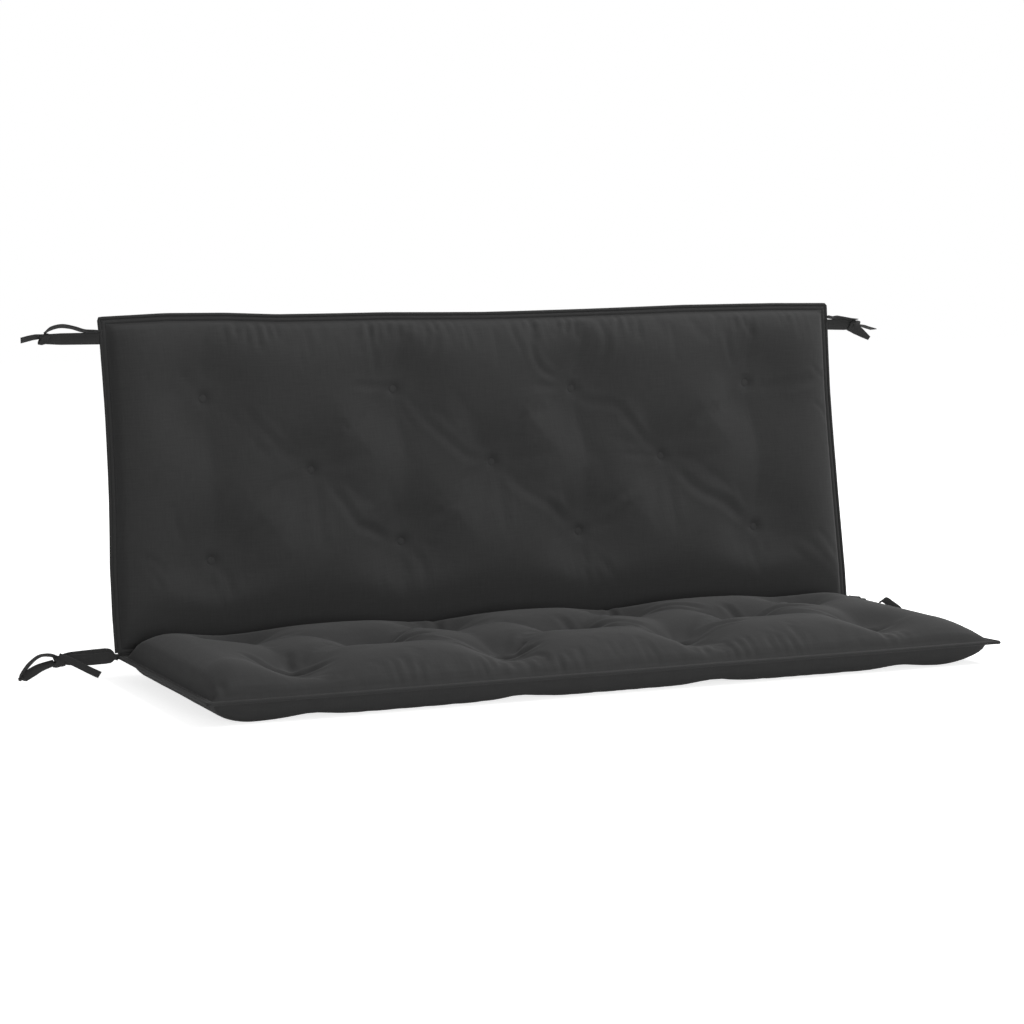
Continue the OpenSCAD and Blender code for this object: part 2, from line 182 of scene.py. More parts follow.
# Stretches of the far seams where the cloth is gathered, in mm across
BACK_GATHERS = [(-415, -330), (-190, -35), (60, 165), (205, 262), (392, 455), (500, 560)]
SEAT_GATHERS = [(-590, -572), (-330, -290), (-218, -155), (-135, -45), (40, 70), (135, 212),
                (240, 295), (430, 470)]


# ---- colours and nodes ----

def linear(hex_colour):
    """An sRGB hex colour as the linear RGB that a shader reads."""
    parts = [int(hex_colour[i : i + 2], 16) / 255 for i in (0, 2, 4)]
    return [c / 12.92 if c <= 0.04045 else ((c + 0.055) / 1.055) ** 2.4 for c in parts]


def add_node(tree, kind, settings=None, **inputs):
    """Adds a node. settings are its own properties; inputs are socket names with spaces as _, or
    in0, in1 for a socket by number, each a value or the socket that it is linked from."""
    node = tree.nodes.new(kind)
    for name, value in (settings or {}).items():
        setattr(node, name, value)
    for name, value in inputs.items():
        socket = (
            node.inputs[int(name[2:])]
            if name[:2] == "in" and name[2:].isdigit()
            else node.inputs[name.replace("_", " ")]
        )
        if isinstance(value, bpy.types.NodeSocket):
            tree.links.new(value, socket)
        else:
            socket.default_value = value
    return node


def blank_tree(owner):
    """The node tree of a material or a world, emptied."""
    owner.use_nodes = True
    owner.node_tree.nodes.clear()
    return owner.node_tree


def maths(tree, operation, *values):
    """A Math node's result."""
    inputs = {f"in{i}": v for i, v in enumerate(values)}
    return add_node(tree, "ShaderNodeMath", {"operation": operation}, **inputs).outputs[0]


def seen_rays(tree):
    """1 for the rays in which the backdrop is seen: straight, mirrored or through glass."""
    rays = add_node(tree, "ShaderNodeLightPath").outputs
    bent = maths(tree, "MAXIMUM", rays["Is Glossy Ray"], rays["Is Transmission Ray"])
    return maths(tree, "MAXIMUM", rays["Is Camera Ray"], bent)


def cloth_material(name, colour, thread, roughness, sheen, coordinates="UV", bump=0.25):
    """Plain weave of spun or filament polyester. thread is the spacing of its threads in metres."""
    material = bpy.data.materials.new(name)
    tree = blank_tree(material)
    where = add_node(tree, "ShaderNodeTexCoord").outputs[coordinates]
    axes = add_node(tree, "ShaderNodeSeparateXYZ", in0=where).outputs
    wear = 0.12  # how far the cloth's tone leaves its colour, both ways
    turns = math.tau / (2 * thread)
    warp = maths(tree, "SINE", maths(tree, "MULTIPLY", axes[0], turns))
    weft = maths(tree, "SINE", maths(tree, "MULTIPLY", axes[1], turns))
    over = maths(tree, "MULTIPLY", warp, weft)
    # Threads that vary in thickness show as faint streaks along and across the cloth
    streaks = []
    for stretch in ((1, 14, 1), (14, 1, 1)):
        mapped = add_node(tree, "ShaderNodeMapping", Vector=where, Scale=stretch).outputs[0]
        streaks.append(
            add_node(tree, "ShaderNodeTexNoise", Vector=mapped, Scale=34, Detail=3).outputs[0]
        )
    streak = maths(tree, "ADD", streaks[0], streaks[1])
    # Rubbed and faded places, a hand wide
    faded = add_node(tree, "ShaderNodeTexNoise", Vector=where, Scale=9, Detail=4).outputs[0]
    tone = maths(tree, "MULTIPLY_ADD", over, 0.02, maths(tree, "MULTIPLY", streak, 0.5))
    shade = maths(tree, "MULTIPLY_ADD", faded, wear * 2, tone)
    ramp = add_node(tree, "ShaderNodeValToRGB", Fac=shade)
    dark, light = ramp.color_ramp.elements
    dark.position, light.position = 0.35, 0.85
    dark.color = [c * (1 - wear) for c in colour] + [1]
    light.color = [c * (1 + wear) for c in colour] + [1]
    relief = maths(tree, "MULTIPLY_ADD", over, 0.5, maths(tree, "MULTIPLY", streak, 0.9))
    lift = add_node(
        tree, "ShaderNodeBump", Strength=bump, Distance=0.25 * MM, Height=relief
    ).outputs[0]
    shader = add_node(
        tree,
        "ShaderNodeBsdfPrincipled",
        Base_Color=ramp.outputs[0],
        Roughness=roughness,
        IOR=1.5,
        Specular_IOR_Level=0.12,
        Sheen_Weight=sheen,
        Sheen_Roughness=0.45,
        Sheen_Tint=[min(1, c * 12) for c in colour] + [1],
        Normal=lift,
    )
    add_node(tree, "ShaderNodeOutputMaterial", Surface=shader.outputs[0])
    return material


# ---- the cushions' regular form ----

def bell(distance, reach):
    """1 at no distance, falling off smoothly over its reach."""
    return np.exp(-((distance / reach) ** 2))


def swell(share):
    """From 0 at the rim to 1 where the crown is reached, round as a quarter circle."""
    share = np.clip(share, 0, 1)
    return np.sqrt(1 - (1 - share) ** 2)


def distance_to(points, a, b):
    """From points to the line between a and b."""
    ab = b - a
    share = np.clip((points - a) @ ab / (ab @ ab), 0, 1)
    return np.hypot(*(points - a - share[:, None] * ab).T)


# A stuffed cover leaves its straight cut a little. For each edge: places along it, and how far it
# stands out there, all in mm. Sides are given from the fold, the far edge from the left.
BACK_BOWS = {
    "left": ([0, 60, 130, 220, 350, 450, 485], [3, 6, 7, 4, 1, 0, 1]),
    "right": ([0, 60, 130, 220, 350, 485], [2, 4, 4, 3, 0, 0]),
    "far": ([-600, -560, -500, -410, -330, -160, 0, 170, 340, 500, 600],
            [3, 5, 8, 8, 5, 6, 4, 5, 7, 5, 2]),
}
SEAT_BOWS = {
    "left": ([0, 150, 300, 430], [0, 5, 5, 1]),
    "right": ([0, 150, 300, 400, 430], [0, 4, 4, 5, 8]),
    "far": ([-600, -400, 0, 400, 590, 600], [0, 5, 6, 5, 1, 3]),
}


# How the filling shapes a face, in mm: height of its crown, width of the hollow at a tuft, how far
# in from the left, the right, the far edge and the fold the crown is reached, and the depth of the
# valleys between tufts that lie aslant and one above the other
Form = namedtuple("Form", "crown reach left right far fold slanted upright")


class Cushion:
    """The cut of one cushion: its length from the fold, and where its tufts are."""

    def __init__(self, name, length, hand, bows, upper, lower, wedge, stretch):
        self.name, self.length, self.bows = name, length, bows
        # How much steeper the hollows are towards the fold, and towards the far edge
        self.stretch = stretch
        # Its share of the angle between the folded cushions
        self.wedge = math.radians(wedge)
        self.upper, self.lower = (Form(*np.array(form) * MM) for form in (upper, lower))
        self.hand = np.array(hand) * MM
        first = length / 2 - ROW_GAP
        self.tufts = np.array(
            [
                ((c - (cols - 1) / 2) * TUFT_PITCH, first + row * ROW_GAP)
                for row, cols in enumerate((4, 3, 4))
                for c in range(cols)
            ]
        )
        # Lines of the cloth that the simulation moves: one along each edge of the flange, one
        # through each tuft
        end = HALF_W - FLANGE
        columns = np.arange(-450, 451, 150) * MM
        rows = [first, first + ROW_GAP, first + 2 * ROW_GAP]
        self.xs = lines([-end, *columns, end], [20] + [21] * 6 + [20])
        self.ds = lines([FLANGE, *rows, length - FLANGE], [16] * 4)

    def spot(self, points):
        """Where points of the cut lie in the seam plane: the sides are drawn in, and a tuft that
        is off its place takes the cloth along."""
        x, d = points[:, 0], points[:, 1]
        moved = np.stack(
            [
                x * (1 - SIDE_DRAW / HALF_W * np.sin(math.pi * np.clip(d / self.length, 0, 1))),
                d * (1 - SIDE_DRAW / self.length * np.cos(math.pi / 2 * x / HALF_W)),
            ],
            1,
        )
        for tuft, off in zip(self.tufts, self.hand):
            moved += bell(np.hypot(*(points - tuft).T), HAND_REACH)[:, None] * off
        out = {name: np.interp(at / MM, *self.bows[name]) * MM
               for name, at in (("left", d), ("right", d), ("far", x))}
        side = np.clip(x / HALF_W, -1, 1)
        moved[:, 0] += np.where(side > 0, out["right"], -out["left"]) * side**4
        moved[:, 1] += out["far"] * np.clip(d / self.length, 0, 1) ** 5
        return moved

    def rise(self, points, form):
        """Share of the crown's height, for the distance from each edge."""
        x, d = points[:, 0], points[:, 1]
        return (
            swell((HALF_W + x - FLANGE) / form.left)
            * swell((HALF_W - x - FLANGE) / form.right)
            * swell((self.length - d - FLANGE) / form.far)
            * swell((d - FLANGE) / form.fold)
        )

    def edge(self, points):
        """Distance from the outside of the cushion."""
        x, d = points[:, 0], points[:, 1]
        return np.minimum(HALF_W - np.abs(x), np.minimum(d, self.length - d))

    def to_tuft(self, points, to_fold=1.0, to_far=1.0):
        """Distance to the nearest tuft. Past the first row and past the last it counts so many
        times along the cushion."""
        first, last = self.tufts[0, 1], self.tufts[-1, 1]
        far = []
        for x, d in self.tufts:
            along = points[:, 1] - d
            if d == first:
                along = np.where(along < 0, along * to_fold, along)
            if d == last:
                along = np.where(along > 0, along * to_far, along)
            far.append(np.hypot(points[:, 0] - x, along))
        return np.min(far, axis=0)

    def near_pairs(self, up, gap_across):
        """Pairs of tufts that are so far apart along the cushion and across it."""
        return [
            (a, b)
            for a in self.tufts
            for b in self.tufts
            if abs(b[1] - a[1] - up) < 0.01 and abs(abs(b[0] - a[0]) - gap_across) < 0.01
        ]

    def height(self, points, form, share):
        """Of the cloth over the seam plane, with this share of the crown's full height."""
        rise = self.rise(points, form)
        crown = form.crown * share
        to_tuft = self.to_tuft(points)
        hollow = 1 - (1 - (TUFT_T - RIM_T) / (crown - RIM_T)) * bell(
            self.to_tuft(points, *self.stretch), form.reach)
        # The button sits in a small pit of its own
        pit = PIT_RIM * (bell(to_tuft, PIT_REACH) - PIT_DEPTH * bell(to_tuft, PIT_WALL))
        on_slant = self.near_pairs(ROW_GAP, TUFT_PITCH / 2)
        above = self.near_pairs(2 * ROW_GAP, 0)
        slant = np.min([distance_to(points, *pair) for pair in on_slant], axis=0)
        column = np.min([distance_to(points, *pair) for pair in above], axis=0)
        column = np.hypot(column, COLUMN_ROUND) - COLUMN_ROUND
        valley = np.maximum(form.slanted * bell(slant, SLANT_REACH),
                            form.upright * np.exp(-column / COLUMN_REACH))
        valley *= 1 - bell(to_tuft, VALLEY_CLEAR * form.reach)
        return RIM_T + ((crown - RIM_T) * hollow + pit - valley) * rise


def lines(stops, counts):
    """Even steps between stops, so many to each part."""
    parts = [np.linspace(a, b, n, endpoint=False) for a, b, n in zip(stops, stops[1:], counts)]
    return np.concatenate(parts + [stops[-1:]])


SEAT = Cushion("seat", 430 * MM, SEAT_HAND, SEAT_BOWS,
               (46, 46, 46, 145, 80, 40, 5, 10), (32, 37, 60, 85, 16, 45, 2, 3), 31,
               (1.35, 0.65))
BACK = Cushion("back", 485 * MM, BACK_HAND, BACK_BOWS,
               (32, 62, 70, 70, 70, 70, 2, 13), (32, 37, 45, 45, 45, 45, 2, 3), 19,
               (1.35, 1.0))


def placed(local, cushion):
    """A cushion's own points in the part's frame."""
    x, d, t = local[..., 0], local[..., 1], local[..., 2]
    if cushion is SEAT:
        return np.stack([x, FOLD_Y - d, FOLD_Z + t], -1)
    c, s = math.sin(LEAN), math.cos(LEAN)
    return np.stack([x, FOLD_Y + d * c - t * s, FOLD_Z + d * s + t * c], -1)


# ---- meshes ----

def grid_faces(nx, nd, base=0, flip=False):
    """The squares of a grid whose points are numbered from base."""
    i, j = np.meshgrid(np.arange(nx - 1), np.arange(nd - 1), indexing="ij")
    a = (base + i * nd + j).ravel()
    quads = np.stack([a, a + nd, a + nd + 1, a + 1], 1)
    return quads[:, ::-1] if flip else quads


def rim_loop(nx, nd):
    """The outline of a grid, once round."""
    low = [i * nd for i in range(nx)]
    right = [(nx - 1) * nd + j for j in range(1, nd)]
    high = [i * nd + nd - 1 for i in range(nx - 2, -1, -1)]
    left = [j for j in range(nd - 2, 0, -1)]
    return np.array(low + right + high + left)


def closed_faces(nx, nd):
    """Faces of two grids, one above the other, joined round their rims."""
    n = nx * nd
    loop = rim_loop(nx, nd)
    after = np.roll(loop, -1)
    wall = np.stack([loop, loop + n, after + n, after], 1)
    return np.concatenate([grid_faces(nx, nd), grid_faces(nx, nd, n, True), wall])


def tube_faces(rings, around):
    """Faces of a closed tube: so many rings, each of so many points, and a cap at both ends."""
    faces = [
        (i * around + j, i * around + (j + 1) % around,
         (i + 1) * around + (j + 1) % around, (i + 1) * around + j)
        for i in range(rings - 1)
        for j in range(around)
    ]
    last = (rings - 1) * around
    return faces + [tuple(range(around - 1, -1, -1)), tuple(range(last, last + around))]


def add_object(name, data):
    obj = bpy.data.objects.new(name, data)
    bpy.context.scene.collection.objects.link(obj)
    return obj


def new_mesh(name, points, faces, edges=()):
    """An object whose mesh has these points with these faces, or edges only."""
    mesh = bpy.data.meshes.new(name)
    points = np.asarray(points, float).reshape(-1, 3).tolist()
    mesh.from_pydata(points, list(edges), [list(map(int, face)) for face in faces])
    mesh.update()
    return add_object(name, mesh)


def outwards(obj):
    """Turns every face of a closed mesh outwards and shades it smooth."""
    work = bmesh.new()
    work.from_mesh(obj.data)
    bmesh.ops.recalc_face_normals(work, faces=work.faces)
    for face in work.faces:
        face.smooth = True
    work.to_mesh(obj.data)
    work.free()
    return obj


def flat_uv(obj, flat):
    """A UV map in metres of the flat cloth, from a flat place for each vertex."""
    layer = obj.data.uv_layers.new(name="cut")
    index = np.zeros(len(obj.data.loops), int)
    obj.data.loops.foreach_get("vertex_index", index)
    layer.data.foreach_set("uv", np.asarray(flat, float)[index].ravel())


def halfway(values):
    """The values with one more between each two neighbours, on a smooth curve."""
    middle = (values[:-1] + values[1:]) / 2
    middle[1:-1] = (9 * (values[1:-2] + values[2:-1]) - values[:-3] - values[3:]) / 16
    fine = np.empty((2 * len(values) - 1,) + values.shape[1:])
    fine[0::2], fine[1::2] = values, middle
    return fine


def refined(grid):
    """A grid of points at half the spacing: the one subdivision of the simulated cloth."""
    return np.swapaxes(halfway(np.swapaxes(halfway(grid), 0, 1)), 0, 1)


def grid_normals(grid):
    across, along = np.gradient(grid, axis=0), np.gradient(grid, axis=1)
    normal = np.cross(across, along)
    return normal / np.maximum(np.linalg.norm(normal, axis=2, keepdims=True), 1e-12)


# ---- padding: the cloth is blown up by its filling ----

def blown_up(cushion, upper, lower, settings):
    """Both faces of a cushion after a cloth simulation, from its starting form."""
    nx, nd = len(cushion.xs), len(cushion.ds)
    grid = np.stack(np.meshgrid(cushion.xs, cushion.ds, indexing="ij"), -1)
    nominal = grid.reshape(-1, 2)
    flat = cushion.spot(nominal)
    start = np.concatenate([np.column_stack([flat, upper]), np.column_stack([flat, -lower])])
    obj = new_mesh(cushion.name + "_blown", start, closed_faces(nx, nd))
    held = (cushion.edge(nominal) < SEAM_HOLD) | (cushion.to_tuft(nominal) < TUFT_HOLD)
    both = np.nonzero(np.concatenate([held, held]))[0]
    obj.vertex_groups.new(name="sewn").add([int(i) for i in both], 1.0, "REPLACE")
    cloth = obj.modifiers.new("Filling", "CLOTH")
    cloth.collision_settings.use_collision = False
    cloth.collision_settings.use_self_collision = False
    fabric = cloth.settings
    fabric.quality = 5
    fabric.mass = 0.3
    fabric.tension_stiffness = fabric.compression_stiffness = 15
    fabric.shear_stiffness = 5
    fabric.bending_stiffness = 0.5
    fabric.air_damping = 1
    fabric.use_pressure = True
    fabric.uniform_pressure_force = settings.pressure
    fabric.shrink_min = -settings.fullness
    fabric.vertex_group_mass = "sewn"
    fabric.effector_weights.gravity = 0
    scene = bpy.context.scene
    frames = settings.frames
    scene.frame_start, scene.frame_end = 1, frames
    cloth.point_cache.frame_start, cloth.point_cache.frame_end = 1, frames
    for number in range(1, frames + 1):
        scene.frame_set(number)
    moved = obj.evaluated_get(bpy.context.evaluated_depsgraph_get())
    points = np.zeros(len(start) * 3)
    moved.data.vertices.foreach_get("co", points)
    scene.frame_set(1)
    bpy.data.objects.remove(obj)
    step = points.reshape(-1, 3) - start
    far = np.maximum(np.linalg.norm(step, axis=1, keepdims=True), 1e-9)
    cap = settings.cap
    step *= cap * (1 - np.exp(-far / cap)) / far
    return (start + step).reshape(2, nx, nd, 3)


def smooth_line(points, count):
    """A smooth curve through points, as count points evenly along each part."""
    points = np.asarray(points, float)
    ends = np.concatenate([[2 * points[0] - points[1]], points, [2 * points[-1] - points[-2]]])
    out = []
    for a, b, c, d in zip(ends, ends[1:], ends[2:], ends[3:]):
        for u in np.linspace(0, 1, count, endpoint=False):
            out.append(
                0.5 * (2 * b + (c - a) * u + (2 * a - 5 * b + 4 * c - d) * u**2
                       + (3 * b - a - 3 * c + d) * u**3)
            )
    return np.array(out + [points[-1]])


def gathers(stretches, seam):
    """Short creases square to a seam that lies at this distance from the fold, in mm. They start
    at the flange, one to every 15 mm."""
    chance = np.random.default_rng(11)
    start = seam - 11
    creases = []
    for first, last in stretches:
        for x in np.arange(first, last, 15.0):
            x += chance.uniform(-4, 4)
            long, lean = chance.uniform(18, 50), chance.uniform(-5, 5)
            path = [(x + part * lean, start - part * long) for part in (0, 0.5, 1)]
            creases.append((path, chance.uniform(1.8, 3.2), chance.uniform(3.5, 5)))
    return creases


CREASE_SHARE = 0.5        # of a crease's full depth is left once the filling has pushed it out


def crease_depth(flat, creases):
    """How far creases push the cloth in at points of the seam plane."""
    depth = np.zeros(len(flat))
    for path, deep, half_width in creases:
        line = smooth_line(np.array(path) * MM, 5)
        half = half_width * MM
        low, high = line.min(0) - 4 * half, line.max(0) + 4 * half
        near = np.nonzero(((flat > low) & (flat < high)).all(1))[0]
        if not len(near):
            continue
        points = flat[near]
        steps = np.concatenate([[0], np.cumsum(np.hypot(*np.diff(line, axis=0).T))])
        best, along = np.full(len(near), 1.0), np.zeros(len(near))
        for k in range(len(line) - 1):
            ab = line[k + 1] - line[k]
            share = np.clip((points - line[k]) @ ab / (ab @ ab), 0, 1)
            far = np.hypot(*(points - line[k] - share[:, None] * ab).T)
            closer = far < best
            best[closer] = far[closer]
            along[closer] = (steps[k] + share[closer] * np.hypot(*ab)) / steps[-1]
        u = best / half
        section = np.exp(-(u**1.5)) - 0.35 * np.exp(-(((u - 2.1) / 0.8) ** 2))
        fade = np.clip(np.minimum(along, 1 - along) * 5 + 0.05, 0, 1)
        depth[near] += CREASE_SHARE * deep * MM * section * np.sqrt(fade)
    return depth


# The flange round a cushion in mm: distance from the outside, and half its thickness there. Two
# lines of stitching draw it in, so that a ridge stands between them.
FLANGE_SECTION = [
    (4.6, 0.9), (5.4, 1.0), (6.4, 1.7), (8.0, 2.2),
    (9.6, 1.8), (10.5, 0.8), (11.1, 1.2), (11.6, 1.6),
]
# At the fold its first two lines lie elsewhere: the seat's reaches the cord, the back's stops
# inside the strip
FLANGE_AT_FOLD = {"seat": (2.3 * MM, 4.4 * MM), "back": (5.3 * MM, 5.8 * MM)}


def full_grid(cushion, inner, side):
    """A face of the cushion from rim to rim: the refined cloth, with the flange round it."""
    section = np.array(FLANGE_SECTION) * MM
    xs, ds = halfway(cushion.xs), halfway(cushion.ds)
    offsets = section[:, 0]
    all_x = np.concatenate([offsets - HALF_W, xs, HALF_W - offsets[::-1]])
    fold_offsets = offsets.copy()
    fold_offsets[:2] = FLANGE_AT_FOLD[cushion.name]
    all_d = np.concatenate([fold_offsets, ds, cushion.length - offsets[::-1]])
    grid = np.stack(np.meshgrid(all_x, all_d, indexing="ij"), -1)
    nominal = grid.reshape(-1, 2)
    flat = cushion.spot(nominal)
    thick = np.interp(cushion.edge(nominal), np.append(offsets, FLANGE),
                      np.append(section[:, 1], RIM_T))
    face = np.column_stack([flat, side * thick]).reshape(grid.shape[:2] + (3,))
    k = len(offsets)
    face[k:-k, k:-k] = inner
    return face, nominal


def wedge(cushion, face):
    """Rounds an upper face off under the plane on which the folded cushions meet."""
    sharp = 8
    most = np.maximum(0.5 * MM, face[..., 1] * math.tan(cushion.wedge) - MEET_GAP)
    height = np.maximum(face[..., 2], 0.1 * MM)
    rounded = height * most / (height**sharp + most**sharp) ** (1 / sharp)
    near = np.clip(3 - face[..., 1] / MEET_REACH, 0, 1) * (face[..., 2] > FLANGE_TOP)
    face[..., 2] += near * (rounded - face[..., 2])


def make_cushion(cushion, name, settings, material, creases, stands):
    """A closed cushion as one piece. One that stands has no cloth below the floor."""
    nominal = np.stack(np.meshgrid(cushion.xs, cushion.ds, indexing="ij"), -1).reshape(-1, 2)
    start = [cushion.height(nominal, form, START_SHARE) for form in (cushion.upper, cushion.lower)]
    blown = blown_up(cushion, *start, settings)
    # The filling holds the cloth nearer to the regular form than an empty bag would
    flat = cushion.spot(nominal)
    held = np.stack([
        np.column_stack([flat, face * cushion.height(nominal, form, settings.stuffing)])
        for face, form in ((1, cushion.upper), (-1, cushion.lower))
    ]).reshape(blown.shape)
    side = (HALF_W - np.abs(nominal[:, 0])).reshape(blown.shape[1:3])
    share = settings.looseness * np.clip(side / LOOSE_OVER - 0.1, 0, 1)
    # The lower face moves less, and least where the cushion lies on it
    share = np.stack([share, share * (0.4 if stands else 0.8)])[..., None]
    cloth = held + share * (blown - held)
    upper, nominal_all = full_grid(cushion, refined(cloth[0]), 1)
    lower, _ = full_grid(cushion, refined(cloth[1]), -1)
    deep = crease_depth(upper[..., :2].reshape(-1, 2), creases).reshape(upper.shape[:2])
    inside = np.clip((cushion.edge(nominal_all) - FLANGE) / (6 * MM), 0, 1).reshape(upper.shape[:2])
    upper -= grid_normals(upper) * (deep * inside)[..., None]
    wedge(cushion, upper)
    if stands:
        lower[..., 2] = np.maximum(lower[..., 2], -FOLD_Z)
    both = np.concatenate([upper.reshape(-1, 3), lower.reshape(-1, 3)])
    obj = new_mesh(name, placed(both, cushion), closed_faces(*upper.shape[:2]))
    flat_uv(obj, np.concatenate([nominal_all, nominal_all + [2 * HALF_W, 0]]))
    outwards(obj)
    obj.data.materials.append(material)
    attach(obj, cushion.name)
    return obj


# ---- geometry nodes ----

def node_group(name, inputs):
    """A geometry node tree with a geometry input, these named inputs and a geometry output."""
    tree = bpy.data.node_groups.new(name, "GeometryNodeTree")
    tree.interface.new_socket("Geometry", in_out="INPUT", socket_type="NodeSocketGeometry")
    for label, kind, default in inputs:
        socket = tree.interface.new_socket(label, in_out="INPUT", socket_type=kind)
        if default is not None:
            socket.default_value = default
    tree.interface.new_socket("Geometry", in_out="OUTPUT", socket_type="NodeSocketGeometry")
    return tree, tree.nodes.new("NodeGroupInput").outputs


def finish_tree(tree, geometry, material):
    real = add_node(tree, "GeometryNodeRealizeInstances", Geometry=geometry).outputs[0]
    painted = add_node(tree, "GeometryNodeSetMaterial", Geometry=real, Material=material)
    tree.links.new(painted.outputs[0], tree.nodes.new("NodeGroupOutput").inputs[0])


def through_nodes(obj, tree, values, name):
    """obj through a tree, as a plain mesh of its own at the origin."""
    modifier = obj.modifiers.new(tree.name, "NODES")
    modifier.node_group = tree
    for item in tree.interface.items_tree:
        if item.item_type == "SOCKET" and item.in_out == "INPUT" and item.name in values:
            modifier[item.identifier] = values[item.name]
    bpy.context.view_layer.update()
    graph = bpy.context.evaluated_depsgraph_get()
    mesh = bpy.data.meshes.new_from_object(obj.evaluated_get(graph), depsgraph=graph)
    mesh.name = name
    bpy.data.objects.remove(obj)
    return add_object(name, mesh)


def cord_tree():
    """A round cord along the edges of a mesh, rippled a little as cloth-covered cord is."""
    tree, given = node_group(
        "Covered cord",
        [
            ("Radius", "NodeSocketFloat", 2.5 * MM),
            ("Ripple", "NodeSocketFloat", 0.25 * MM),
            ("Sides", "NodeSocketInt", 14),
            ("Spacing", "NodeSocketFloat", 4 * MM),
            ("Cloth", "NodeSocketMaterial", None),
        ],
    )
    curve = add_node(tree, "GeometryNodeMeshToCurve", Mesh=given["Geometry"]).outputs[0]
    even = add_node(
        tree, "GeometryNodeResampleCurve", {"mode": "LENGTH"}, Curve=curve, Length=given["Spacing"]
    ).outputs[0]
    noise = add_node(
        tree, "ShaderNodeTexNoise", {"noise_dimensions": "4D"}, W=3.0, Scale=45, Detail=1
    ).outputs["Color"]
    centred = add_node(tree, "ShaderNodeVectorMath", {"operation": "SUBTRACT"}, in0=noise,
                       in1=(0.5, 0.5, 0.5)).outputs[0]
    push = add_node(tree, "ShaderNodeVectorMath", {"operation": "SCALE"}, in0=centred,
                    Scale=given["Ripple"]).outputs[0]
    rippled = add_node(tree, "GeometryNodeSetPosition", Geometry=even, Offset=push).outputs[0]
    round_section = add_node(
        tree, "GeometryNodeCurvePrimitiveCircle", Radius=given["Radius"], Resolution=given["Sides"]
    ).outputs[0]
    tube = add_node(tree, "GeometryNodeCurveToMesh", Curve=rippled, Profile_Curve=round_section)
    tube.inputs["Fill Caps"].default_value = True
    smooth = add_node(tree, "GeometryNodeSetShadeSmooth", Geometry=tube.outputs[0]).outputs[0]
    finish_tree(tree, smooth, given["Cloth"])
    return tree


def stitch_tree():
    """Stitches in a row along the edges of a mesh."""
    tree, given = node_group(
        "Row of stitches",
        [
            ("Pitch", "NodeSocketFloat", 3.2 * MM),
            ("Length", "NodeSocketFloat", 2.4 * MM),
            ("Thickness", "NodeSocketFloat", 0.6 * MM),
            ("Thread", "NodeSocketMaterial", None),
        ],
    )
    curve = add_node(tree, "GeometryNodeMeshToCurve", Mesh=given["Geometry"]).outputs[0]
    points = add_node(
        tree, "GeometryNodeCurveToPoints", {"mode": "LENGTH"}, Curve=curve, Length=given["Pitch"]
    )
    # A stitch is a short spindle, pressed into the cloth at both ends
    ball = add_node(tree, "GeometryNodeMeshUVSphere", Segments=6, Rings=4, Radius=0.5).outputs[0]
    size = add_node(
        tree, "ShaderNodeCombineXYZ", in0=given["Thickness"], in1=given["Thickness"],
        in2=given["Length"]
    ).outputs[0]
    row = add_node(
        tree, "GeometryNodeInstanceOnPoints", Points=points.outputs["Points"], Instance=ball,
        Rotation=points.outputs["Rotation"], Scale=size
    ).outputs[0]
    finish_tree(tree, row, given["Thread"])
    return tree


def button_tree():
    """A button on each point, facing along the point's normal."""
    tree, given = node_group(
        "Buttons on tufts",
        [("Button", "NodeSocketObject", None), ("Cloth", "NodeSocketMaterial", None)],
    )
    shape = add_node(tree, "GeometryNodeObjectInfo", Object=given["Button"]).outputs["Geometry"]
    facing = add_node(tree, "GeometryNodeInputNamedAttribute", {"data_type": "FLOAT_VECTOR"},
                      Name="facing").outputs["Attribute"]
    turn = add_node(tree, "FunctionNodeAlignRotationToVector", {"axis": "Z"}, Vector=facing)
    placed_buttons = add_node(
        tree, "GeometryNodeInstanceOnPoints", Points=given["Geometry"], Instance=shape,
        Rotation=turn.outputs[0]
    ).outputs[0]
    smooth = add_node(tree, "GeometryNodeSetShadeSmooth", Geometry=placed_buttons).outputs[0]
    finish_tree(tree, smooth, given["Cloth"])
    return tree


def path_mesh(points):
    """A mesh of edges only, for a tree to follow."""
    return new_mesh("path", points, [], [(i, i + 1) for i in range(len(points) - 1)])


def edge_path(cushion, inset, corner, height=0.0, start=6 * MM):
    """Round the sides and the far edge of a cushion, at this distance from the outside, with
    corners of this radius."""
    step = 10 * MM
    side, far = HALF_W - inset, cushion.length - inset
    bend = [
        (side - corner * (1 - math.sin(a)), far - corner * (1 - math.cos(a)))
        for a in np.radians([90, 68, 45, 22, 0])
    ]
    up = [(side, d) for d in np.arange(start, far - corner, step)]
    over = [(x, far) for x in np.arange(side - corner, 0, -step)[1:]]
    half = np.array(up + bend + over)
    mirrored = half[::-1] * [-1, 1]
    nominal = np.concatenate([half, [[0, far]], mirrored])
    flat = cushion.spot(nominal)
    flat[0, 1] = flat[-1, 1] = start
    return placed(np.column_stack([flat, np.full(len(flat), height)]), cushion)


# ---- straps ----

